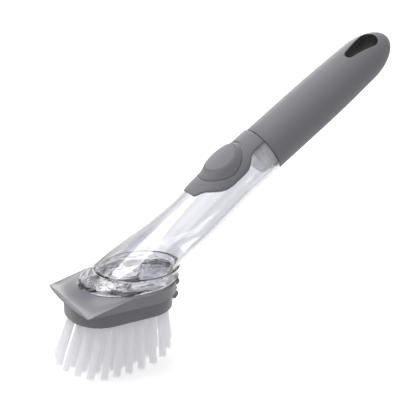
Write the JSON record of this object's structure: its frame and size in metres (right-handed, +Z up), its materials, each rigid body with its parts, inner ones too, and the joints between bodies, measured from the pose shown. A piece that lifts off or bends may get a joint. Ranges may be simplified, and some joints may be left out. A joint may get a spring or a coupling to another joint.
{
  "type": "dish wand",
  "caption": "Soap-dispensing dish wand: clear reservoir with a pump button, grey screw-on grip, detachable brush head with scraper lip.",
  "frame": {"origin": "centre of the scrub face, in the plane where the longest bristles end, under the middle of the tufted block", "axes": "+X from the scraper lip towards the grip, +Z up from the bristle tips to the reservoir, +Y to the left of the +X direction"},
  "size_m": [0.2536, 0.06, 0.1945],
  "materials": {
    "grip_soft": "matte",
    "grip_hard": "matte",
    "head_plastic": "satin",
    "block_plastic": "satin",
    "clear_plastic": "clear",
    "silicone_clear": "satin",
    "seal_black": "matte",
    "nylon_white": "satin",
    "anchor_steel": "satin"
  },
  "bodies": {
    "reservoir": {"reservoir_tube": "clear_plastic", "base_foot": "clear_plastic", "button_surround": "grip_soft", "pump_bulb": "grip_soft", "bulb_retainer": "silicone_clear", "outlet_valve": "silicone_clear", "valve_retainer": "clear_plastic", "outlet_seal": "seal_black"},
    "button": {"button_pad": "grip_soft"},
    "neck": {"neck_seal": "seal_black"},
    "handle": {"handle_core": "grip_hard", "handle_grip": "grip_soft", "stopper_plug": "silicone_clear"},
    "head": {"head_shell": "head_plastic", "brush_block": "block_plastic", "tuft_anchors": "anchor_steel", "bristles_front": "nylon_white", "bristles_centre": "nylon_white", "bristles_rear": "nylon_white"},
    "latch": {"release_tab": "head_plastic"}
  },
  "joints": [
    {"name": "cap_lift", "type": "slide", "parent": "reservoir", "child": "neck", "axis": [0.8358, 0, 0.549], "range_m": [0, 0.008]},
    {"name": "handle_turn", "type": "hinge", "parent": "neck", "child": "handle", "pos_m": [0.10843, 0, 0.12542], "axis": [0.8358, 0, 0.549], "range_deg": [0, 720]},
    {"name": "button_press", "type": "slide", "parent": "reservoir", "child": "button", "axis": [0.5786, 0, -0.8156], "range_m": [0, 0.004], "stiffness_N_per_m": 600, "deforming": ["pump_bulb"]},
    {"name": "head_off", "type": "slide", "parent": "reservoir", "child": "head", "axis": [0, 0, -1], "range_m": [0, 0.025]},
    {"name": "release_tab", "type": "hinge", "parent": "head", "child": "latch", "pos_m": [0.0379, 0, 0.0425], "axis": [0, 1, 0], "range_deg": [0, 10], "stiffness_Nm_per_rad": 0.12}
  ],
  "couplings": [
    {"joint": "cap_lift", "follows": "handle_turn", "m_per_rad": 0.00063662}
  ]
}
